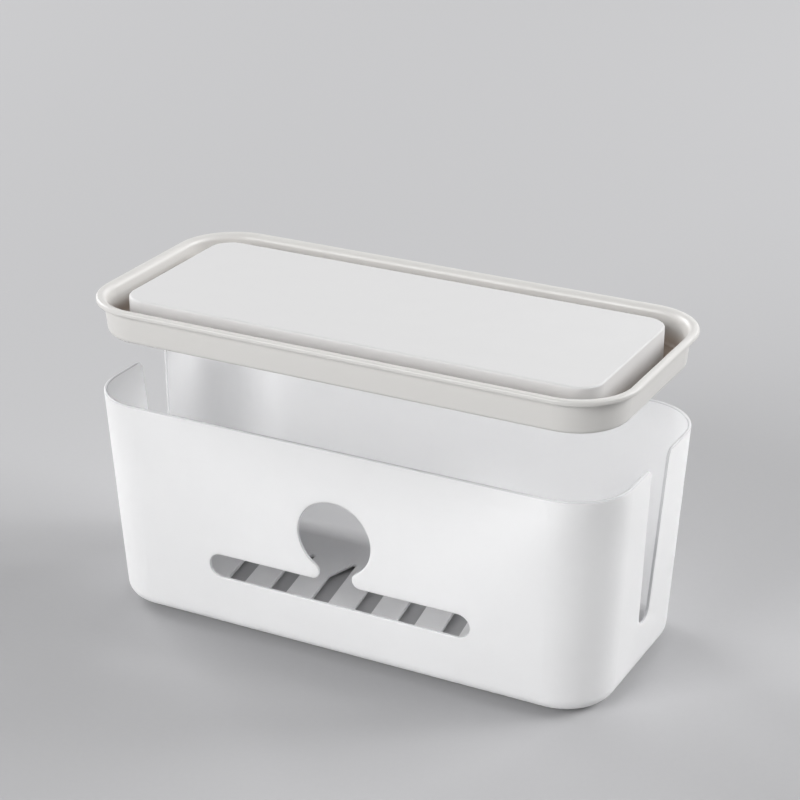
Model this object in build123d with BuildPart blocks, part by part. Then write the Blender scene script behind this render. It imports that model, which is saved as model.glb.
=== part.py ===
from build123d import *
import math
import os

# Cable management box: a drafted, open-topped tub for a socket strip, and a lift-off lid.
# X runs along the box, -Y is its front, +Z is up. The origin is on the table, under the middle.
# All sizes are in millimetres and all angles in degrees.

# Tub
box_length = 400  # outside, at the rim
box_width = 180  # outside, at the rim
box_height = 162  # underside of the floor to the rim
wall = 2.4
floor_thickness = 2.6
wall_draft = 3.3
rim_corner_radius = 42  # outside, in plan
base_corner_radius = 36.6  # the same corners at the underside
bottom_edge_radius = 10.5  # outside, all round the floor
rim_edge_radius = 1  # rim and notches, on both sides of the wall

# Cable notches, open at the rim, one in the middle of each end wall
notch_foot_height = 38  # floor's underside to the lowest point of the notch
notch_foot_radius = 9
notch_mouth_width = 32
notch_mouth_radius = 7

# Opening in the front wall: a round window joined by a short neck to a long slot
front_slot_length = 203
front_slot_width = 18
front_slot_height = 50.4  # floor's underside to the middle of the slot
window_radius = 28
neck_width = 25.2
neck_radius = 6.2  # rounding of the two tongues of wall beside the neck
front_edge_radius = 0.8  # on both sides of the wall

# Slanted vents in the floor
vent_count = 8
vent_pitch = 35.2
vent_width = 13.7
vent_length = 84
vent_parallel_length = 38  # stretch in which both sides run side by side
vent_tip_width = 3
vent_slant = 8.8
vent_corner_radius = 1.2
vent_edge_radius = 0.5  # on both sides of the floor

# Non-slip pads under the floor
pad_diameter = 18
pad_thickness = 3.6
pad_recess = 0.6
pad_clearance = 0.2
pad_inset = 34  # pad's centre to the sides of the underside
pad_edge = 0.4

# Lid tray: a lip that rests on the rim, a wall that drops into the mouth, and a ring-shaped floor
lid_raised = 66  # how far above its seat the lid is held
lid_seat_gap = 0.3
lid_fit = 1.1  # all round, between the tray's wall and the mouth of the tub
lip_height = 4.2
lip_overhang = 1.9
lip_top_radius = 1.6  # along the outer edge
lip_under_radius = 1.6
lip_inner_radius = 4.5  # where the lip rolls over into the trough
tray_drop = 21.7  # lip's underside to the tray's underside
tray_wall = 2
tray_floor = 2.2
tray_draft = 5.5
tray_bottom_radius = 3
trough_bottom_radius = 3

# Lid panel: an upside-down pan that stands in the tray and leaves a trough around it
trough_width = 14.8  # at the trough's floor
panel_sink = 0.3  # panel's top below the top of the lip
panel_corner_radius = 17
panel_edge_radius = 1.5
panel_wall = 2.2

# Catch tabs on the tray's floor, and the nubs of the panel that click into their windows
tab_width = 18
tab_height = 9
tab_thickness = 2
tab_clearance = 0.3
tab_spacing = 120
catch_width = 12
catch_height = 3
catch_sill = 3.5  # tray's floor to the lower edge of the catch window
nub_clearance = 0.4  # above, below and beside the nub
nub_reach = 1.2  # how far the nub enters the catch window

# A rounded edge takes at most this share of the thickness that carries it
most_rounding = 0.48
# The roll into the trough takes at most this share of the flat top of the lip
most_roll = 0.9

# Heights above the table
underside = pad_thickness - pad_recess
floor_top = underside + floor_thickness
rim = underside + box_height
lip_bottom = rim + lid_seat_gap + lid_raised
lip_top = lip_bottom + lip_height
tray_bottom = lip_bottom - tray_drop
trough_floor = tray_bottom + tray_floor
panel_top = lip_top - panel_sink

# How far a drafted wall leans in for each millimetre downwards
box_lean = math.tan(math.radians(wall_draft))
tray_lean = math.tan(math.radians(tray_draft))

# box_space: the room inside the tub, wider at the rim and rounded along the floor
space_inset = wall + (rim - floor_top) * box_lean

with BuildPart() as box_space:
    with BuildSketch(Plane.XY.offset(floor_top)):
        RectangleRounded(
            box_length - 2 * space_inset,
            box_width - 2 * space_inset,
            base_corner_radius - wall,
        )
    with BuildSketch(Plane.XY.offset(rim)):
        RectangleRounded(
            box_length - 2 * wall,
            box_width - 2 * wall,
            rim_corner_radius - wall,
        )
    loft(ruled=True)
    fillet(box_space.faces().sort_by(Axis.Z)[0].edges(), bottom_edge_radius - wall)

# vent: one slanted blade with parallel sides, each end cut back to a tip at its trailing corner
vent_lean = math.tan(math.radians(vent_slant))
half_vent_width = vent_width / 2
half_vent_length = vent_length / 2
half_parallel = vent_parallel_length / 2
tip_x = half_vent_width - half_vent_length * vent_lean

with BuildSketch() as vent:
    with BuildLine():
        Polyline(
            (-half_vent_width - half_parallel * vent_lean, half_parallel),
            (tip_x - vent_tip_width, half_vent_length),
            (tip_x, half_vent_length),
            (half_vent_width + half_parallel * vent_lean, -half_parallel),
            (vent_tip_width - tip_x, -half_vent_length),
            (-tip_x, -half_vent_length),
            close=True,
        )
    make_face()
    fillet(vent.vertices(), vent_corner_radius)

# box_body: the tub, moulded in one piece
base_inset = box_height * box_lean
half_mouth = notch_mouth_width / 2
slot_middle = underside + front_slot_height
slot_top = slot_middle + front_slot_width / 2
tongue_x = neck_width / 2 + neck_radius
tongue_middle = slot_top + neck_radius
tongue_to_window = math.sqrt((window_radius + neck_radius) ** 2 - tongue_x**2)
window_middle = tongue_middle + tongue_to_window
neck_top = tongue_middle + tongue_to_window * neck_radius / (window_radius + neck_radius)
pad_x = box_length / 2 - base_inset - pad_inset
pad_y = box_width / 2 - base_inset - pad_inset

with BuildPart() as box_body:
    with BuildSketch(Plane.XY.offset(underside)):
        RectangleRounded(
            box_length - 2 * base_inset,
            box_width - 2 * base_inset,
            base_corner_radius,
        )
    with BuildSketch(Plane.XY.offset(rim)):
        RectangleRounded(box_length, box_width, rim_corner_radius)
    loft(ruled=True)
    fillet(box_body.faces().sort_by(Axis.Z)[0].edges(), bottom_edge_radius)
    add(box_space.part, mode=Mode.SUBTRACT)

    # one cut along X opens the notch in both end walls; its upper corners are rounded over
    with BuildSketch(Plane.YZ) as notch:
        with BuildLine():
            foot_middle = underside + notch_foot_height + notch_foot_radius
            CenterArc((0, foot_middle), notch_foot_radius, 0, 360)
            Line((-half_mouth, rim), (half_mouth, rim))
        make_hull()
        with Locations((0, rim)):
            Rectangle(box_width, 2 * notch_mouth_radius, align=(Align.CENTER, Align.MIN))
        mouth_corners = notch.vertices().filter_by_position(Axis.X, -half_mouth - 1, half_mouth + 1)
        fillet(mouth_corners.group_by(Axis.Y)[-1], notch_mouth_radius)
    extrude(amount=box_length, both=True, mode=Mode.SUBTRACT)

    # the rounding of the notch edges runs on without a break along the rim
    notch_reach = half_mouth + notch_mouth_radius
    notch_edges = (
        box_body.edges()
        .filter_by_position(Axis.Y, -notch_reach, notch_reach)
        .filter_by_position(Axis.Z, underside + notch_foot_height, rim)
        .filter_by(Axis.X, reverse=True)
    )
    fillet(notch_edges, min(rim_edge_radius, wall * most_rounding))

    # the neck is a block that loses a round tongue of wall on each side
    with BuildSketch(Plane.XZ):
        with Locations((0, slot_middle)):
            Rectangle(2 * tongue_x, neck_top - slot_middle, align=(Align.CENTER, Align.MIN))
        with Locations((-tongue_x, tongue_middle), (tongue_x, tongue_middle)):
            Circle(neck_radius, mode=Mode.SUBTRACT)
        with Locations((0, window_middle)):
            Circle(window_radius)
        with Locations((0, slot_middle)):
            SlotOverall(front_slot_length, front_slot_width)
    extrude(amount=box_width, mode=Mode.SUBTRACT)
    front_edges = (
        box_body.edges()
        .filter_by_position(Axis.X, -front_slot_length / 2, front_slot_length / 2)
        .filter_by_position(Axis.Y, -box_width / 2, 0)
        .filter_by_position(Axis.Z, slot_middle - front_slot_width / 2, window_middle + window_radius)
        .filter_by(Axis.Y, reverse=True)
    )
    fillet(front_edges, min(front_edge_radius, wall * most_rounding))

    with BuildSketch(Plane.XY.offset(underside)):
        with GridLocations(vent_pitch, 0, vent_count, 1):
            add(vent.sketch)
    extrude(amount=floor_thickness, mode=Mode.SUBTRACT)
    vent_field = vent_pitch * vent_count / 2
    vent_edges = (
        box_body.edges()
        .filter_by_position(Axis.X, -vent_field, vent_field)
        .filter_by_position(Axis.Y, -half_vent_length, half_vent_length)
        .filter_by_position(Axis.Z, underside, floor_top)
        .filter_by(Axis.Z, reverse=True)
    )
    fillet(vent_edges, min(vent_edge_radius, floor_thickness * most_rounding))

    with BuildSketch(Plane.XY.offset(underside)):
        with GridLocations(2 * pad_x, 2 * pad_y, 2, 2):
            Circle(pad_diameter / 2 + pad_clearance)
    extrude(amount=pad_recess, mode=Mode.SUBTRACT)

box_body.part.label = "box_body"
os.makedirs("parts", exist_ok=True)
export_step(box_body.part, "parts/box_body.step")

# pads: four rubber discs, glued into shallow recesses in the underside
pad_places = {
    "pad_front_left": (-pad_x, -pad_y),
    "pad_front_right": (pad_x, -pad_y),
    "pad_rear_left": (-pad_x, pad_y),
    "pad_rear_right": (pad_x, pad_y),
}
for pad_name, pad_place in pad_places.items():
    with BuildPart() as pad:
        with BuildSketch():
            with Locations(pad_place):
                Circle(pad_diameter / 2)
        extrude(amount=pad_thickness)
        chamfer(pad.faces().sort_by(Axis.Z)[0].edges(), pad_edge)
    pad.part.label = pad_name
    export_step(pad.part, f"parts/{pad_name}.step")

# trough_space: the room inside the tray
skirt_inset = wall + lid_fit  # rim's outline to the outside of the tray's wall, under the lip
skirt_length = box_length - 2 * skirt_inset
skirt_width = box_width - 2 * skirt_inset
skirt_radius = rim_corner_radius - skirt_inset
trough_inset = tray_wall + (lip_bottom - trough_floor) * tray_lean
trough_length = skirt_length - 2 * trough_inset
trough_breadth = skirt_width - 2 * trough_inset

with BuildPart() as trough_space:
    with BuildSketch(Plane.XY.offset(trough_floor)):
        RectangleRounded(trough_length, trough_breadth, skirt_radius - trough_inset)
    extrude(amount=lip_top - trough_floor, taper=-tray_draft)
    fillet(trough_space.faces().sort_by(Axis.Z)[0].edges(), trough_bottom_radius)

# lip: the bead round the top of the tray
with BuildPart() as lip:
    with BuildSketch(Plane.XY.offset(lip_bottom)):
        RectangleRounded(
            box_length + 2 * lip_overhang,
            box_width + 2 * lip_overhang,
            rim_corner_radius + lip_overhang,
        )
    extrude(amount=lip_height)
    fillet(lip.faces().sort_by(Axis.Z)[-1].edges(), min(lip_top_radius, lip_height * most_rounding))
    fillet(lip.faces().sort_by(Axis.Z)[0].edges(), min(lip_under_radius, lip_height * most_rounding))

# lid_tray: the lip, the wall that drops into the mouth of the tub, and the floor of the trough
lip_width = lip_overhang + skirt_inset + tray_wall - lip_height * tray_lean
lip_flat = lip_width - lip_top_radius  # what the outer rounding leaves of its top
panel_length = trough_length - 2 * trough_width
panel_width = trough_breadth - 2 * trough_width
tab_length = panel_length - 2 * panel_wall - 2 * tab_clearance  # over the outer faces of the tabs
tab_breadth = panel_width - 2 * panel_wall - 2 * tab_clearance
opening_length = tab_length - 2 * tab_thickness
opening_width = tab_breadth - 2 * tab_thickness
opening_radius = panel_corner_radius - panel_wall - tab_clearance - tab_thickness

with BuildPart() as lid_tray:
    with BuildSketch(Plane.XY.offset(lip_bottom)):
        RectangleRounded(skirt_length, skirt_width, skirt_radius)
    extrude(amount=-tray_drop, taper=tray_draft)
    fillet(lid_tray.faces().sort_by(Axis.Z)[0].edges(), tray_bottom_radius)
    add(lip.part)
    add(trough_space.part, mode=Mode.SUBTRACT)
    inner_edges = lid_tray.faces().sort_by(Axis.Z)[-1].inner_wires().edges()
    fillet(inner_edges, min(lip_inner_radius, lip_flat * most_roll))
    with BuildSketch(Plane.XY.offset(tray_bottom)):
        RectangleRounded(opening_length, opening_width, opening_radius)
    extrude(amount=tray_floor, mode=Mode.SUBTRACT)

    # the catch tabs are what is left of crossed strips once the opening is taken out of them
    with BuildSketch(Plane.XY.offset(trough_floor)):
        with GridLocations(tab_spacing, 0, 3, 1):
            Rectangle(tab_width, tab_breadth)
        Rectangle(tab_length, tab_width)
        Rectangle(opening_length, opening_width, mode=Mode.SUBTRACT)
    extrude(amount=tab_height)
    with BuildSketch(Plane.XY.offset(trough_floor + catch_sill)):
        with GridLocations(tab_spacing, 0, 3, 1):
            Rectangle(catch_width, tab_breadth)
        Rectangle(tab_length, catch_width)
    extrude(amount=catch_height, mode=Mode.SUBTRACT)

lid_tray.part.label = "lid_tray"
export_step(lid_tray.part, "parts/lid_tray.step")

# lid_panel: a separate pan, pressed over the catch tabs, its edge standing on the trough's floor
nub_width = catch_width - 2 * nub_clearance
nub_height = catch_height - 2 * nub_clearance
nub_foot = trough_floor + catch_sill + nub_clearance

with BuildPart() as lid_panel:
    with BuildSketch(Plane.XY.offset(trough_floor)):
        RectangleRounded(panel_length, panel_width, panel_corner_radius)
    extrude(amount=panel_top - trough_floor)
    fillet(lid_panel.faces().sort_by(Axis.Z)[-1].edges(), panel_edge_radius)
    with BuildSketch(Plane.XY.offset(trough_floor)):
        RectangleRounded(
            panel_length - 2 * panel_wall,
            panel_width - 2 * panel_wall,
            panel_corner_radius - panel_wall,
        )
    extrude(amount=panel_top - panel_wall - trough_floor, mode=Mode.SUBTRACT)
    with BuildSketch(Plane.XY.offset(nub_foot)):
        with GridLocations(tab_spacing, 0, 3, 1):
            Rectangle(nub_width, panel_width - panel_wall)
        Rectangle(panel_length - panel_wall, nub_width)
        Rectangle(tab_length - 2 * nub_reach, tab_breadth - 2 * nub_reach, mode=Mode.SUBTRACT)
    extrude(amount=nub_height)

lid_panel.part.label = "lid_panel"
export_step(lid_panel.part, "parts/lid_panel.step")
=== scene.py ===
import bpy
import math
from mathutils import Matrix, Vector


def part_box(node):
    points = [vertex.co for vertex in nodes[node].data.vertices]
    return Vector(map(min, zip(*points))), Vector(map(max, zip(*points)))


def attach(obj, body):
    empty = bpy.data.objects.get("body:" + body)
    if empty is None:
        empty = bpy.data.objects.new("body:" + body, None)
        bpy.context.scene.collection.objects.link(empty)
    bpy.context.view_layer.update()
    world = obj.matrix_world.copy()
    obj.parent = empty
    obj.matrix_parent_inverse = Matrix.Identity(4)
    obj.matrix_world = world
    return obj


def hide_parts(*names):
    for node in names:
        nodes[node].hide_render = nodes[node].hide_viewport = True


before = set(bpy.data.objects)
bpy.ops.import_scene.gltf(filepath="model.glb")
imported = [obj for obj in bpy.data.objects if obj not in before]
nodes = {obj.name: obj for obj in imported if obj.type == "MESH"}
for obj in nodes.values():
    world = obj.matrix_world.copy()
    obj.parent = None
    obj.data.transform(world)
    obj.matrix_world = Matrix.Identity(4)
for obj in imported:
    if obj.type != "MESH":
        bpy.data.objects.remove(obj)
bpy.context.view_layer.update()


# ---------------------------------------------------------------------------
# The tub. One injection-moulded shell of white polypropylene, 2.4 mm thick,
# with a fine spark-eroded grain. The cable openings and vents are moulded in.


def add_node(tree, kind, column, row, **settings):
    node = tree.nodes.new(kind)
    node.location = (220 * column, -180 * row)
    for name, value in settings.items():
        setattr(node, name, value)
    return node


def new_group(name, inputs, outputs):
    """An empty shader group. Inputs are (name, kind, value) and outputs (name, kind)."""
    group = bpy.data.node_groups.new(name, "ShaderNodeTree")
    for title, kind, value in inputs:
        socket = group.interface.new_socket(title, in_out="INPUT", socket_type=kind)
        if value is not None:
            socket.default_value = value
    for title, kind in outputs:
        group.interface.new_socket(title, in_out="OUTPUT", socket_type=kind)
    group_in = add_node(group, "NodeGroupInput", 0, 0)
    group_out = add_node(group, "NodeGroupOutput", 6, 0)
    return group, group_in, group_out


def math_node(tree, operation, column, row, first, second=None):
    """A Math node fed by sockets or plain numbers; gives back its output socket."""
    node = add_node(tree, "ShaderNodeMath", column, row, operation=operation)
    for socket, value in zip(node.inputs, (first, second)):
        if isinstance(value, bpy.types.NodeSocket):
            tree.links.new(value, socket)
        elif value is not None:
            socket.default_value = value
    return node.outputs["Value"]


def make_grain_group():
    """Moulded grain: fine pits, a slow mottle of the gloss and a long waviness of the wall."""
    group, group_in, group_out = new_group(
        "moulded_grain",
        [
            ("Vector", "NodeSocketVector", None),
            ("Grain Size", "NodeSocketFloat", 0.0006),
            ("Mottle Size", "NodeSocketFloat", 0.02),
            ("Wave Size", "NodeSocketFloat", 0.09),
        ],
        [("Height", "NodeSocketFloat"), ("Mottle", "NodeSocketFloat"), ("Wave", "NodeSocketFloat")],
    )
    sizes = ("Grain Size", "Mottle Size", "Wave Size")
    noises = {}
    for row, size in enumerate(sizes):
        scale = math_node(group, "DIVIDE", 1, row, 1.0, group_in.outputs[size])
        noise = add_node(group, "ShaderNodeTexNoise", 2, row)
        noise.inputs["Detail"].default_value = 2.0
        noise.inputs["Roughness"].default_value = 0.55
        group.links.new(group_in.outputs["Vector"], noise.inputs["Vector"])
        group.links.new(scale, noise.inputs["Scale"])
        noises[size] = noise.outputs["Fac"]
    pits = add_node(group, "ShaderNodeMapRange", 3, 0)
    pits.inputs["From Min"].default_value = 0.35
    pits.inputs["From Max"].default_value = 0.65
    group.links.new(noises["Grain Size"], pits.inputs["Value"])
    group.links.new(pits.outputs["Result"], group_out.inputs["Height"])
    group.links.new(noises["Mottle Size"], group_out.inputs["Mottle"])
    group.links.new(noises["Wave Size"], group_out.inputs["Wave"])
    return group


def make_edge_group():
    """A mask that is 1 on a moulding's rounded edges and 0 on its flat faces, a little uneven."""
    group, group_in, group_out = new_group(
        "polished_and_painted_edge",
        [
            ("Vector", "NodeSocketVector", None),
            ("Edge Width", "NodeSocketFloat", 0.0012),
            ("Break Up", "NodeSocketFloat", 0.3),
            ("Break Up Size", "NodeSocketFloat", 0.012),
        ],
        [("Edge", "NodeSocketFloat")],
    )
    rounded = add_node(group, "ShaderNodeBevel", 1, 0, samples=4)
    group.links.new(group_in.outputs["Edge Width"], rounded.inputs["Radius"])
    geometry = add_node(group, "ShaderNodeNewGeometry", 1, 1)
    agreement = add_node(group, "ShaderNodeVectorMath", 2, 0, operation="DOT_PRODUCT")
    group.links.new(rounded.outputs["Normal"], agreement.inputs[0])
    group.links.new(geometry.outputs["Normal"], agreement.inputs[1])
    mask = add_node(group, "ShaderNodeMapRange", 3, 0)
    mask.inputs["From Min"].default_value = 0.99
    mask.inputs["From Max"].default_value = 0.86
    group.links.new(agreement.outputs["Value"], mask.inputs["Value"])
    scale = math_node(group, "DIVIDE", 1, 2, 1.0, group_in.outputs["Break Up Size"])
    noise = add_node(group, "ShaderNodeTexNoise", 2, 2)
    group.links.new(group_in.outputs["Vector"], noise.inputs["Vector"])
    group.links.new(scale, noise.inputs["Scale"])
    loss = math_node(group, "MULTIPLY", 3, 2, noise.outputs["Fac"], group_in.outputs["Break Up"])
    kept = math_node(group, "SUBTRACT", 4, 1, 1.0, loss)
    edge = math_node(group, "MULTIPLY", 5, 0, mask.outputs["Result"], kept)
    group.links.new(edge, group_out.inputs["Edge"])
    return group


grain_group = make_grain_group()
edge_group = make_edge_group()
gloss_swing = 0.04  # how far the mottle moves the roughness either way


def moulded_plastic(name, color, deep_color, painted_edge_tone, roughness, edge_roughness, grain):
    """A moulded plastic. Its colour drifts towards deep_color in a slow mottle, and on rounded
    edges
    towards painted_edge_tone: a painted highlight where that is lighter, a painted shade where it
    is darker. grain holds the sizes and depths of its relief, in metres."""
    material = bpy.data.materials.new(name)
    material.use_nodes = True
    tree = material.node_tree
    shader = tree.nodes["Principled BSDF"]
    shader.location = (1760, 0)
    tree.nodes["Material Output"].location = (2060, 0)
    place = add_node(tree, "ShaderNodeTexCoord", 0, 1)

    surface = add_node(tree, "ShaderNodeGroup", 1, 1, node_tree=grain_group)
    surface.inputs["Grain Size"].default_value = grain["pit_size"]
    surface.inputs["Mottle Size"].default_value = grain["mottle_size"]
    surface.inputs["Wave Size"].default_value = grain["wave_size"]
    tree.links.new(place.outputs["Object"], surface.inputs["Vector"])

    edge = add_node(tree, "ShaderNodeGroup", 1, 3, node_tree=edge_group)
    edge.inputs["Edge Width"].default_value = grain["edge_width"]
    tree.links.new(place.outputs["Object"], edge.inputs["Vector"])

    drift = add_node(tree, "ShaderNodeMix", 3, 0, data_type="RGBA")
    drift.inputs["A"].default_value = (*color, 1)
    drift.inputs["B"].default_value = (*deep_color, 1)
    tree.links.new(surface.outputs["Mottle"], drift.inputs["Factor"])
    # rounded edges take the edge tone: a painted highlight if lighter, a painted shade if darker
    edged = add_node(tree, "ShaderNodeMix", 4, 0, data_type="RGBA")
    edged.inputs["B"].default_value = (*painted_edge_tone, 1)
    tree.links.new(edge.outputs["Edge"], edged.inputs["Factor"])
    tree.links.new(drift.outputs["Result"], edged.inputs["A"])
    tree.links.new(edged.outputs["Result"], shader.inputs["Base Color"])

    gloss = add_node(tree, "ShaderNodeMapRange", 3, 2)
    gloss.inputs["From Min"].default_value = 0.3
    gloss.inputs["From Max"].default_value = 0.7
    gloss.inputs["To Min"].default_value = roughness - gloss_swing
    gloss.inputs["To Max"].default_value = roughness + gloss_swing
    tree.links.new(surface.outputs["Mottle"], gloss.inputs["Value"])
    polished = add_node(tree, "ShaderNodeMix", 4, 2, data_type="FLOAT")
    polished.inputs["B"].default_value = edge_roughness
    tree.links.new(edge.outputs["Edge"], polished.inputs["Factor"])
    tree.links.new(gloss.outputs["Result"], polished.inputs["A"])
    tree.links.new(polished.outputs["Result"], shader.inputs["Roughness"])

    waves = add_node(tree, "ShaderNodeBump", 5, 4)
    waves.inputs["Distance"].default_value = grain["wave_depth"]
    tree.links.new(surface.outputs["Wave"], waves.inputs["Height"])
    pits = add_node(tree, "ShaderNodeBump", 6, 4)
    pits.inputs["Distance"].default_value = grain["pit_depth"]
    tree.links.new(surface.outputs["Height"], pits.inputs["Height"])
    tree.links.new(waves.outputs["Normal"], pits.inputs["Normal"])
    tree.links.new(pits.outputs["Normal"], shader.inputs["Normal"])
    return material


square_on = 0.8  # a normal with less than this along its wall's axis belongs to a cut


def make_cut_group():
    """A mask that is 1 where the wall's thickness shows, on the rim and round the openings."""
    group, group_in, group_out = new_group(
        "wall_thickness",
        [
            ("Vector", "NodeSocketVector", None),
            ("Rim", "NodeSocketFloat", 0.16),
            ("Wall Foot", "NodeSocketFloat", 0.03),
            ("Front", "NodeSocketFloat", 0.08),
            ("Slot Reach", "NodeSocketFloat", 0.1),
            ("End", "NodeSocketFloat", 0.18),
            ("Notch Reach", "NodeSocketFloat", 0.02),
        ],
        [("Cut", "NodeSocketFloat")],
    )
    place = add_node(group, "ShaderNodeSeparateXYZ", 1, 0)
    group.links.new(group_in.outputs["Vector"], place.inputs["Vector"])
    away_x = math_node(group, "ABSOLUTE", 2, 0, place.outputs["X"])
    away_y = math_node(group, "ABSOLUTE", 2, 1, place.outputs["Y"])
    geometry = add_node(group, "ShaderNodeNewGeometry", 1, 3)
    facing = add_node(group, "ShaderNodeSeparateXYZ", 2, 3)
    group.links.new(geometry.outputs["Normal"], facing.inputs["Vector"])

    # the front wall's faces look along Y and the end walls' along X: the rest is cut
    height = place.outputs["Z"]
    found = math_node(group, "GREATER_THAN", 3, 0, height, group_in.outputs["Rim"])
    above = math_node(group, "GREATER_THAN", 3, 1, height, group_in.outputs["Wall Foot"])
    for row, (axis, depth, wall, side, reach) in enumerate((
        ("Y", away_y, "Front", away_x, "Slot Reach"),
        ("X", away_x, "End", away_y, "Notch Reach"),
    )):
        across = math_node(group, "ABSOLUTE", 3, 3 + row, facing.outputs[axis])
        across = math_node(group, "LESS_THAN", 4, 3 + row, across, square_on)
        in_wall = math_node(group, "GREATER_THAN", 3, 5 + row, depth, group_in.outputs[wall])
        in_reach = math_node(group, "LESS_THAN", 4, 5 + row, side, group_in.outputs[reach])
        zone = math_node(group, "MULTIPLY", 5, 5 + row, in_wall, in_reach)
        zone = math_node(group, "MULTIPLY", 6, 5 + row, zone, above)
        cut = math_node(group, "MULTIPLY", 5, 3 + row, across, zone)
        found = math_node(group, "MAXIMUM", 6, row, found, cut)
    group.links.new(found, group_out.inputs["Cut"])
    return group


def finish_node(name, material):
    """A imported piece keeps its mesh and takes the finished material."""
    mesh = nodes[name].data
    mesh.materials.clear()
    mesh.materials.append(material)


white_shell = moulded_plastic(
    "white_shell",
    color=(0.896, 0.897, 0.91),
    deep_color=(0.866, 0.867, 0.884),
    # the shell's rounded edges are painted darker than its faces, a painted shade
    painted_edge_tone=(0.74, 0.74, 0.755),
    roughness=0.46,
    edge_roughness=0.36,
    grain={
        "pit_size": 0.0007,
        "pit_depth": 0.000012,
        "mottle_size": 0.03,
        "wave_size": 0.11,
        "wave_depth": 0.0002,
        "edge_width": 0.0012,
    },
)
shell_tree = white_shell.node_tree
shell_shader = shell_tree.nodes["Principled BSDF"]

# polypropylene this thin lets some light through and spreads it
shell_shader.inputs["Subsurface Weight"].default_value = 1.0
shell_shader.inputs["Subsurface Radius"].default_value = (1.0, 1.0, 1.0)
shell_shader.inputs["Subsurface Scale"].default_value = 0.007

# where the wall's thickness shows, on the rim and round the openings,
# the colour is multiplied darker: a painted shade
shell_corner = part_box("box_body")[1]
rim_depth = 0.0009
wall_foot = 0.03
front_draft = 0.014  # how far the front wall leans in from the rim's edge, with some to spare
end_draft = 0.02
slot_reach = 0.11
notch_reach = 0.03
cut_shade_color = (0.68, 0.68, 0.685, 1)
shell_color = shell_shader.inputs["Base Color"].links[0].from_socket
shell_place = add_node(shell_tree, "ShaderNodeTexCoord", 4, -2)
cut = add_node(shell_tree, "ShaderNodeGroup", 5, -2, node_tree=make_cut_group())
cut.inputs["Rim"].default_value = shell_corner.z - rim_depth
cut.inputs["Wall Foot"].default_value = wall_foot
cut.inputs["Front"].default_value = shell_corner.y - front_draft
cut.inputs["Slot Reach"].default_value = slot_reach
cut.inputs["End"].default_value = shell_corner.x - end_draft
cut.inputs["Notch Reach"].default_value = notch_reach
shell_tree.links.new(shell_place.outputs["Object"], cut.inputs["Vector"])
# painted shade: the cut faces are multiplied darker
cut_shaded = add_node(shell_tree, "ShaderNodeMix", 6, -1, data_type="RGBA", blend_type="MULTIPLY")
cut_shaded.inputs["B"].default_value = cut_shade_color
shell_tree.links.new(cut.outputs["Cut"], cut_shaded.inputs["Factor"])
shell_tree.links.new(shell_color, cut_shaded.inputs["A"])
shell_tree.links.new(cut_shaded.outputs["Result"], shell_shader.inputs["Base Color"])
finish_node("box_body", white_shell)


# ---------------------------------------------------------------------------
# The pads. Four discs cut from grey rubber sheet with fine concentric grip
# rings in their foot, glued into shallow recesses under the tub's floor.

pad_nodes = sorted(name for name in nodes if name.startswith("pad_"))
pad_low, pad_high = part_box(pad_nodes[0])
pad_radius = (pad_high.x - pad_low.x) / 2
pad_thickness = pad_high.z - pad_low.z
pad_reach = (pad_low + pad_high) / 2
pad_ring_count = 5
pad_ring_depth = 0.0005
pad_sides = 72
steps_per_ring = 8


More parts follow.
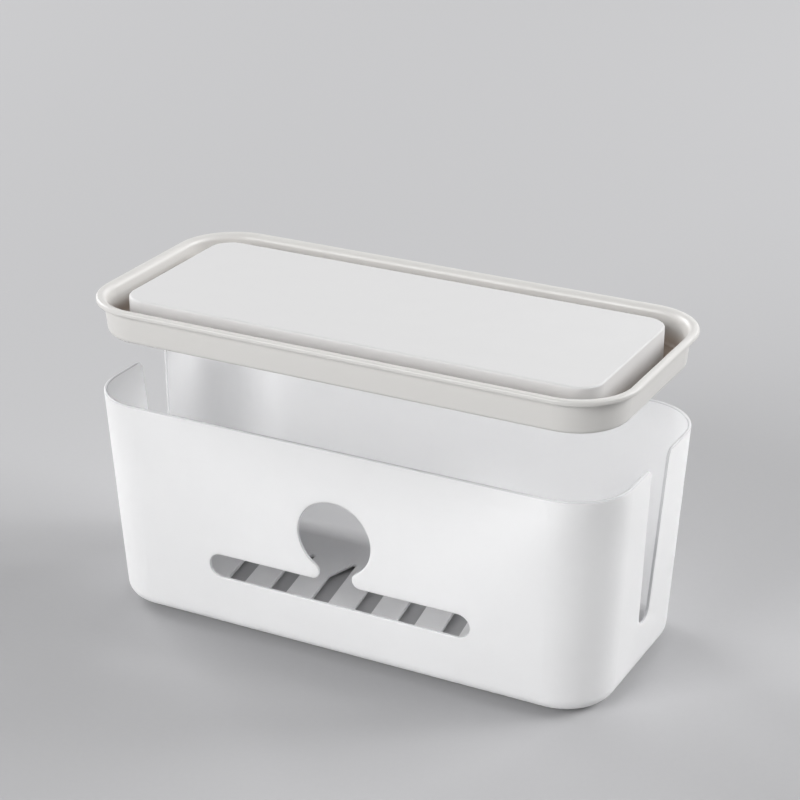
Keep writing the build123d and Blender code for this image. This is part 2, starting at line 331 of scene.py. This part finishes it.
def make_pad_tree():
    """Rubber discs on the corners of a rectangle, each with ring_count grip rings in its foot."""
    tree = bpy.data.node_groups.new("grip_pads", "GeometryNodeTree")
    for title, kind in (
        ("Radius", "NodeSocketFloat"),
        ("Thickness", "NodeSocketFloat"),
        ("Spacing X", "NodeSocketFloat"),
        ("Spacing Y", "NodeSocketFloat"),
        ("Ring Count", "NodeSocketInt"),
        ("Ring Depth", "NodeSocketFloat"),
        ("Material", "NodeSocketMaterial"),
    ):
        tree.interface.new_socket(title, in_out="INPUT", socket_type=kind)
    tree.interface.new_socket("Geometry", in_out="OUTPUT", socket_type="NodeSocketGeometry")
    link = tree.links.new
    sizes = add_node(tree, "NodeGroupInput", 0, 0).outputs
    group_out = add_node(tree, "NodeGroupOutput", 9, 0)

    steps = math_node(tree, "MULTIPLY", 1, 2, sizes["Ring Count"], steps_per_ring)
    disc = add_node(tree, "GeometryNodeMeshCylinder", 2, 0, fill_type="TRIANGLE_FAN")
    disc.inputs["Vertices"].default_value = pad_sides
    link(steps, disc.inputs["Fill Segments"])
    link(sizes["Radius"], disc.inputs["Radius"])
    link(sizes["Thickness"], disc.inputs["Depth"])

    # on the foot, the height follows a cosine of the distance from the disc's middle
    position = add_node(tree, "GeometryNodeInputPosition", 1, 4)
    parts = add_node(tree, "ShaderNodeSeparateXYZ", 2, 4)
    link(position.outputs["Position"], parts.inputs["Vector"])
    flat = add_node(tree, "ShaderNodeCombineXYZ", 3, 4)
    link(parts.outputs["X"], flat.inputs["X"])
    link(parts.outputs["Y"], flat.inputs["Y"])
    distance = add_node(tree, "ShaderNodeVectorMath", 4, 4, operation="LENGTH")
    link(flat.outputs["Vector"], distance.inputs[0])
    share = math_node(tree, "DIVIDE", 5, 4, distance.outputs["Value"], sizes["Radius"])
    turns = math_node(tree, "MULTIPLY", 5, 5, share, sizes["Ring Count"])
    angle = math_node(tree, "MULTIPLY", 6, 5, turns, 2 * math.pi)
    wave = math_node(tree, "COSINE", 6, 4, angle)
    lifted = math_node(tree, "ADD", 7, 4, wave, 1.0)
    half_depth = math_node(tree, "MULTIPLY", 6, 6, sizes["Ring Depth"], 0.5)
    rise = math_node(tree, "MULTIPLY", 7, 5, lifted, half_depth)
    offset = add_node(tree, "ShaderNodeCombineXYZ", 8, 4)
    link(rise, offset.inputs["Z"])
    foot = math_node(tree, "LESS_THAN", 3, 5, parts.outputs["Z"], 0.0)
    ringed = add_node(tree, "GeometryNodeSetPosition", 4, 0)
    link(disc.outputs["Mesh"], ringed.inputs["Geometry"])
    link(foot, ringed.inputs["Selection"])
    link(offset.outputs["Vector"], ringed.inputs["Offset"])

    corners = add_node(tree, "GeometryNodeMeshGrid", 4, 2)
    corners.inputs["Vertices X"].default_value = 2
    corners.inputs["Vertices Y"].default_value = 2
    link(sizes["Spacing X"], corners.inputs["Size X"])
    link(sizes["Spacing Y"], corners.inputs["Size Y"])
    placed = add_node(tree, "GeometryNodeInstanceOnPoints", 5, 0)
    link(corners.outputs["Mesh"], placed.inputs["Points"])
    link(ringed.outputs["Geometry"], placed.inputs["Instance"])
    half_thickness = math_node(tree, "MULTIPLY", 5, 2, sizes["Thickness"], 0.5)
    seat = add_node(tree, "ShaderNodeCombineXYZ", 6, 2)
    link(half_thickness, seat.inputs["Z"])
    raised = add_node(tree, "GeometryNodeTransform", 6, 0)
    link(placed.outputs["Instances"], raised.inputs["Geometry"])
    link(seat.outputs["Vector"], raised.inputs["Translation"])
    real = add_node(tree, "GeometryNodeRealizeInstances", 7, 0)
    link(raised.outputs["Geometry"], real.inputs["Geometry"])
    painted = add_node(tree, "GeometryNodeSetMaterial", 8, 0)
    link(real.outputs["Geometry"], painted.inputs["Geometry"])
    link(sizes["Material"], painted.inputs["Material"])
    link(painted.outputs["Geometry"], group_out.inputs["Geometry"])
    return tree


def mesh_from_tree(name, tree, values):
    """Runs a geometry tree once and gives its result back as a plain mesh object at the origin."""
    carrier = bpy.data.objects.new(name + "_carrier", bpy.data.meshes.new(name + "_carrier"))
    bpy.context.scene.collection.objects.link(carrier)
    modifier = carrier.modifiers.new("tree", "NODES")
    modifier.node_group = tree
    for item in tree.interface.items_tree:
        if item.in_out == "INPUT" and item.name in values:
            modifier[item.identifier] = values[item.name]
    evaluated = carrier.evaluated_get(bpy.context.evaluated_depsgraph_get())
    mesh = bpy.data.meshes.new_from_object(evaluated)
    mesh.name = name
    carrier.modifiers.clear()
    bpy.data.objects.remove(carrier)
    piece = bpy.data.objects.new(name, mesh)
    bpy.context.scene.collection.objects.link(piece)
    return piece


grey_rubber = moulded_plastic(
    "grey_rubber",
    color=(0.3, 0.3, 0.31),
    deep_color=(0.25, 0.25, 0.26),
    # the rubber's rounded edges are painted lighter, a painted highlight
    painted_edge_tone=(0.36, 0.36, 0.37),
    roughness=0.72,
    edge_roughness=0.62,
    grain={
        "pit_size": 0.0004,
        "pit_depth": 0.00003,
        "mottle_size": 0.006,
        "wave_size": 0.02,
        "wave_depth": 0.00005,
        "edge_width": 0.0006,
    },
)
pads = mesh_from_tree(
    "grip_pads",
    make_pad_tree(),
    {
        "Radius": pad_radius,
        "Thickness": pad_thickness,
        "Spacing X": 2 * abs(pad_reach.x),
        "Spacing Y": 2 * abs(pad_reach.y),
        "Ring Count": pad_ring_count,
        "Ring Depth": pad_ring_depth,
        "Material": grey_rubber,
    },
)
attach(pads, "box")
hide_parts(*pad_nodes)


# ---------------------------------------------------------------------------
# The lid's tray. Moulded in ivory, with a satin finish: a rolled lip, a wall
# that drops into the tub's mouth, and a trough. The trough's floor and lower
# inner walls are painted a darker warm tan, a painted shade.

tray_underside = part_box("lid_tray")[0].z
tray_floor_thickness = 0.0022
trough_floor = tray_underside + tray_floor_thickness
trough_shade_height = 0.015
trough_shade_color = (0.7, 0.59, 0.51, 1)


def make_trough_group():
    """A mask of the inside of a tray: 1 on its floor, fading to 0 up its inner walls, 0 outside."""
    group, group_in, group_out = new_group(
        "trough_depth",
        [
            ("Vector", "NodeSocketVector", None),
            ("Floor", "NodeSocketFloat", 0.0),
            ("Height", "NodeSocketFloat", 0.01),
        ],
        [("Depth", "NodeSocketFloat")],
    )
    place = add_node(group, "ShaderNodeSeparateXYZ", 1, 0)
    group.links.new(group_in.outputs["Vector"], place.inputs["Vector"])
    top = math_node(group, "ADD", 1, 1, group_in.outputs["Floor"], group_in.outputs["Height"])
    depth = add_node(group, "ShaderNodeMapRange", 3, 0, interpolation_type="SMOOTHSTEP")
    depth.inputs["To Min"].default_value = 1.0
    depth.inputs["To Max"].default_value = 0.0
    group.links.new(place.outputs["Z"], depth.inputs["Value"])
    group.links.new(group_in.outputs["Floor"], depth.inputs["From Min"])
    group.links.new(top, depth.inputs["From Max"])

    # an inner wall faces the middle of the tray, and the floor faces up
    geometry = add_node(group, "ShaderNodeNewGeometry", 1, 3)
    facing = add_node(group, "ShaderNodeSeparateXYZ", 2, 3)
    group.links.new(geometry.outputs["Normal"], facing.inputs["Vector"])
    outward_x = math_node(group, "MULTIPLY", 3, 2, facing.outputs["X"], place.outputs["X"])
    outward_y = math_node(group, "MULTIPLY", 3, 3, facing.outputs["Y"], place.outputs["Y"])
    outward = math_node(group, "ADD", 4, 2, outward_x, outward_y)
    inner = math_node(group, "LESS_THAN", 5, 2, outward, 0.0)
    upward = math_node(group, "GREATER_THAN", 5, 3, facing.outputs["Z"], 0.5)
    inside = math_node(group, "MAXIMUM", 5, 1, inner, upward)
    mask = math_node(group, "MULTIPLY", 5, 0, inside, depth.outputs["Result"])
    group.links.new(mask, group_out.inputs["Depth"])
    return group


ivory_satin = moulded_plastic(
    "ivory_satin",
    color=(0.685, 0.674, 0.657),
    deep_color=(0.665, 0.653, 0.634),
    # the tray's lip and edges are painted a little lighter, a painted highlight
    painted_edge_tone=(0.7, 0.69, 0.675),
    roughness=0.36,
    edge_roughness=0.32,
    grain={
        "pit_size": 0.0005,
        "pit_depth": 0.000006,
        "mottle_size": 0.025,
        "wave_size": 0.08,
        "wave_depth": 0.00015,
        "edge_width": 0.0016,
    },
)
tray_tree = ivory_satin.node_tree
tray_shader = tray_tree.nodes["Principled BSDF"]
tray_color = tray_shader.inputs["Base Color"].links[0].from_socket
tray_place = add_node(tray_tree, "ShaderNodeTexCoord", 4, -2)
trough = add_node(tray_tree, "ShaderNodeGroup", 5, -2, node_tree=make_trough_group())
trough.inputs["Floor"].default_value = trough_floor
trough.inputs["Height"].default_value = trough_shade_height
tray_tree.links.new(tray_place.outputs["Object"], trough.inputs["Vector"])
# painted shade: the colour darkens to tan on the trough's floor and low inner walls
trough_shaded = add_node(tray_tree, "ShaderNodeMix", 6, -1, data_type="RGBA", blend_type="MULTIPLY")
trough_shaded.inputs["B"].default_value = trough_shade_color
tray_tree.links.new(trough.outputs["Depth"], trough_shaded.inputs["Factor"])
tray_tree.links.new(tray_color, trough_shaded.inputs["A"])
tray_tree.links.new(trough_shaded.outputs["Result"], tray_shader.inputs["Base Color"])
finish_node("lid_tray", ivory_satin)


# ---------------------------------------------------------------------------
# The lid's panel. A white pan, moulded upside down and pressed over the
# tray's catch tabs, so that the trough is left open all round it.

white_panel = moulded_plastic(
    "white_panel",
    color=(0.68, 0.678, 0.68),
    deep_color=(0.66, 0.658, 0.66),
    # the panel's rounded edges are painted a little lighter, a painted highlight
    painted_edge_tone=(0.7, 0.698, 0.7),
    roughness=0.54,
    edge_roughness=0.46,
    grain={
        "pit_size": 0.0006,
        "pit_depth": 0.00001,
        "mottle_size": 0.03,
        "wave_size": 0.1,
        "wave_depth": 0.0002,
        "edge_width": 0.001,
    },
)
finish_node("lid_panel", white_panel)


# ---------------------------------------------------------------------------
# The studio. The box stands on a pale laminate table top that runs into a
# plain pale surround, and five large soft boxes stand in a ring about it.

bpy.ops.mesh.primitive_plane_add(size=30, location=(0, 0, 0))
floor = bpy.context.object
floor.name = "floor"

table_color = (0.49, 0.49, 0.5, 1)
fleck_color = (0.475, 0.475, 0.485, 1)
bounce_color = (0.4, 0.4, 0.4, 1)  # what the object's own light rays meet
haze_color = (0.58, 0.58, 0.59, 1)  # far off, the table runs into the surround
haze_start = 1.2
haze_end = 3.5
ambient_level = 0.04


def seen_directly(tree, column, row):
    """1 for a ray from the camera, a reflection or a refraction, 0 for a ray of diffuse light."""
    path = add_node(tree, "ShaderNodeLightPath", column, row).outputs
    seen = math_node(tree, "MAXIMUM", column + 1, row, path["Is Camera Ray"], path["Is Glossy Ray"])
    return math_node(tree, "MAXIMUM", column + 2, row, seen, path["Is Transmission Ray"])


table = bpy.data.materials.new("pale_table")
table.use_nodes = True
tree = table.node_tree
laminate = tree.nodes["Principled BSDF"]
laminate.location = (1320, 0)
laminate.inputs["Roughness"].default_value = 0.9
laminate.inputs["Specular IOR Level"].default_value = 0.2
place = add_node(tree, "ShaderNodeTexCoord", 0, 1)
fleck = add_node(tree, "ShaderNodeTexNoise", 1, 1)
fleck.inputs["Scale"].default_value = 260
fleck.inputs["Detail"].default_value = 3
tree.links.new(place.outputs["Object"], fleck.inputs["Vector"])
tint = add_node(tree, "ShaderNodeMix", 3, 1, data_type="RGBA")
tint.inputs["A"].default_value = table_color
tint.inputs["B"].default_value = fleck_color
tree.links.new(fleck.outputs["Fac"], tint.inputs["Factor"])
shown = seen_directly(tree, 1, 3)
seen_color = add_node(tree, "ShaderNodeMix", 5, 1, data_type="RGBA")
seen_color.inputs["A"].default_value = bounce_color
tree.links.new(shown, seen_color.inputs["Factor"])
tree.links.new(tint.outputs["Result"], seen_color.inputs["B"])
tree.links.new(seen_color.outputs["Result"], laminate.inputs["Base Color"])
texture = add_node(tree, "ShaderNodeBump", 4, 4)
texture.inputs["Distance"].default_value = 0.00002
tree.links.new(fleck.outputs["Fac"], texture.inputs["Height"])
tree.links.new(texture.outputs["Normal"], laminate.inputs["Normal"])
distance = add_node(tree, "ShaderNodeVectorMath", 3, 6, operation="LENGTH")
tree.links.new(place.outputs["Object"], distance.inputs[0])
far = add_node(tree, "ShaderNodeMapRange", 4, 6, interpolation_type="SMOOTHSTEP")
far.inputs["From Min"].default_value = haze_start
far.inputs["From Max"].default_value = haze_end
tree.links.new(distance.outputs["Value"], far.inputs["Value"])
hazy = math_node(tree, "MULTIPLY", 5, 6, far.outputs["Result"], shown)
haze = add_node(tree, "ShaderNodeEmission", 6, 5)
haze.inputs["Color"].default_value = haze_color
blended = add_node(tree, "ShaderNodeMixShader", 8, 2)
tree.links.new(hazy, blended.inputs["Fac"])
tree.links.new(laminate.outputs["BSDF"], blended.inputs[1])
tree.links.new(haze.outputs["Emission"], blended.inputs[2])
tree.links.new(blended.outputs["Shader"], tree.nodes["Material Output"].inputs["Surface"])
tree.nodes["Material Output"].location = (2000, 0)
floor.data.materials.append(table)

world = bpy.data.worlds.new("surround")
world.use_nodes = True
tree = world.node_tree
ambient = tree.nodes["Background"]
ambient.inputs["Color"].default_value = (1, 1, 1, 1)
ambient.inputs["Strength"].default_value = ambient_level
backdrop = add_node(tree, "ShaderNodeBackground", 3, 2)
backdrop.inputs["Color"].default_value = haze_color
chosen = add_node(tree, "ShaderNodeMixShader", 5, 0)
tree.links.new(seen_directly(tree, 0, 4), chosen.inputs["Fac"])
tree.links.new(ambient.outputs["Background"], chosen.inputs[1])
tree.links.new(backdrop.outputs["Background"], chosen.inputs[2])
tree.links.new(chosen.outputs["Shader"], tree.nodes["World Output"].inputs["Surface"])
bpy.context.scene.world = world
bpy.context.scene.view_settings.view_transform = "Standard"


def soft_box(name, azimuth, elevation, distance, width, height, level, aim=(0, 0, 0.1)):
    """A soft box that lights a face turned to it: at level 1 a colour renders as it is written."""
    a, e = math.radians(azimuth), math.radians(elevation)
    towards = Vector((math.sin(a) * math.cos(e), -math.cos(a) * math.cos(e), math.sin(e)))
    lamp = bpy.data.objects.new(name, bpy.data.lights.new(name, "AREA"))
    lamp.data.shape = "RECTANGLE"
    lamp.data.size = width
    lamp.data.size_y = height
    lamp.data.energy = level * math.pi**2 * distance**2
    lamp.matrix_world = towards.to_track_quat("Z", "Y").to_matrix().to_4x4()
    lamp.location = Vector(aim) + distance * towards
    bpy.context.scene.collection.objects.link(lamp)


# degrees round from the front and up from the table, then metres, then the level
soft_box("front_box", azimuth=-22, elevation=22, distance=5, width=2.7, height=3.0, level=0.88)
soft_box("right_box", azimuth=110, elevation=36, distance=5, width=2.7, height=2.4, level=0.45)
soft_box("rear_right_box", azimuth=133, elevation=26, distance=5, width=2.7, height=2.4, level=0.6)
soft_box("rear_box", azimuth=180, elevation=24, distance=5, width=2.7, height=2.4, level=0.2)
soft_box("left_box", azimuth=-108, elevation=23, distance=5, width=2.7, height=2.4, level=0.6)


# ---------------------------------------------------------------------------
# The camera. A long lens on a tripod, which looks down on the front and the
# right end of the box. Its frame is set a little off the box's middle.

azimuth = math.radians(27.535)
elevation = math.radians(23.598)
camera_distance = 1.58246
shift_right = 0.00526
shift_up = 0.05878
back = Vector((
    math.sin(azimuth) * math.cos(elevation),
    -math.cos(azimuth) * math.cos(elevation),
    math.sin(elevation),
))
right = Vector((0, 0, 1)).cross(back).normalized()
up = back.cross(right)
aim = Vector((0, 0, 0.103))
eye = aim + shift_right * right + shift_up * up + camera_distance * back
camera = bpy.data.objects.new("camera", bpy.data.cameras.new("camera"))
bpy.context.scene.collection.objects.link(camera)
camera.matrix_world = Matrix((
    (right.x, up.x, back.x, eye.x),
    (right.y, up.y, back.y, eye.y),
    (right.z, up.z, back.z, eye.z),
    (0, 0, 0, 1),
))
frame_width = 800
focal_length = 2237.53  # in pixels of that frame
camera.data.sensor_width = 36
camera.data.lens = focal_length / frame_width * camera.data.sensor_width
bpy.context.scene.camera = camera
